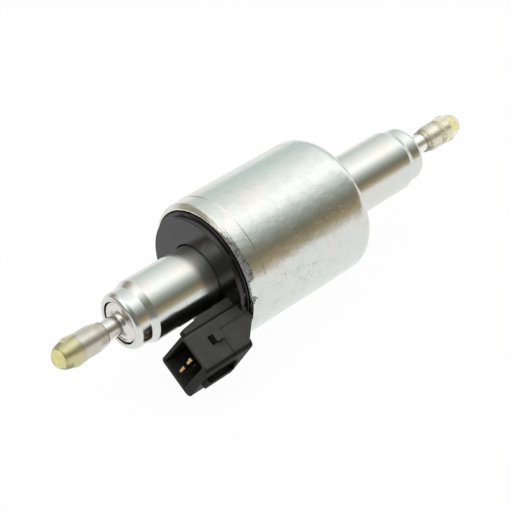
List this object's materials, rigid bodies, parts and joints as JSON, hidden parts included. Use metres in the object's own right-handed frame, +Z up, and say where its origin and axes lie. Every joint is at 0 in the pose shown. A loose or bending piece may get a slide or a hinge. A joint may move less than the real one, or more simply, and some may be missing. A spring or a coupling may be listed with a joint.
{
  "type": "fuel pump",
  "caption": "Slim electromagnetic metering fuel pump: round steel can on a centre tube with hose nozzles, transport caps and a moulded plug socket at the outlet end.",
  "frame": {"origin": "on the pump's axis, at the middle of the centre tube", "axes": "+X along the axis towards the inlet nozzle, -X towards the outlet nozzle and the plug socket's mouth, +Z up as the pump lies on its can"},
  "size_m": [0.133, 0.0386, 0.035],
  "materials": {
    "can": "bright zinc plated, drawn",
    "tube": "bright drawn",
    "nozzle": "bright nickel plated",
    "black_plastic": "fine grained",
    "bobbin": "natural glass filled",
    "terminal": "bright",
    "winding": "enamelled copper wire",
    "yoke": "zinc plated",
    "spacer": "turned",
    "core": "turned, soft magnetic",
    "ground_steel": "ground",
    "spring": "bright wire",
    "seal": "matte",
    "strainer": "fine woven",
    "cap": "translucent"
  },
  "bodies": {
    "housing": {"outer_can": "can", "connector_moulding": "black_plastic", "terminal_upper": "terminal", "terminal_lower": "terminal", "flange_seal": "seal", "front_yoke_washer": "yoke", "rear_yoke_washer": "yoke", "coil_bobbin": "bobbin", "coil_winding": "winding", "outlet_tube": "tube", "spacer_ring": "spacer", "inlet_tube": "tube", "outlet_nozzle": "nozzle", "inlet_nozzle": "nozzle", "outlet_nozzle_seal": "seal", "inlet_nozzle_seal": "seal", "return_spring": "spring", "pole_piece": "core", "damping_washer": "seal", "pump_cylinder": "ground_steel", "cylinder_seal": "seal", "delivery_valve_seat": "ground_steel", "delivery_valve_spring": "spring", "valve_cage": "ground_steel", "stop_bumper": "seal", "stop_sleeve": "ground_steel", "inlet_strainer": "strainer"},
    "plunger": {"armature": "core", "piston": "ground_steel"},
    "delivery_ball": {"delivery_valve_ball": "ground_steel"},
    "outlet_transport_cap": {"outlet_cap": "cap"},
    "inlet_transport_cap": {"inlet_cap": "cap"}
  },
  "joints": [
    {"name": "plunger_stroke", "type": "slide", "parent": "housing", "child": "plunger", "axis": [-1, 0, 0], "range_m": [0, 0.0018], "stiffness_N_per_m": 600, "springref_m": -0.004, "deforming": ["return_spring"]},
    {"name": "delivery_valve_lift", "type": "slide", "parent": "housing", "child": "delivery_ball", "axis": [-1, 0, 0], "range_m": [0, 0.0008], "stiffness_N_per_m": 40, "springref_m": -0.0008, "deforming": ["delivery_valve_spring"]},
    {"name": "outlet_cap_pull", "type": "slide", "parent": "housing", "child": "outlet_transport_cap", "axis": [-1, 0, 0], "range_m": [0, 0.016]},
    {"name": "inlet_cap_pull", "type": "slide", "parent": "housing", "child": "inlet_transport_cap", "axis": [1, 0, 0], "range_m": [0, 0.016]}
  ]
}
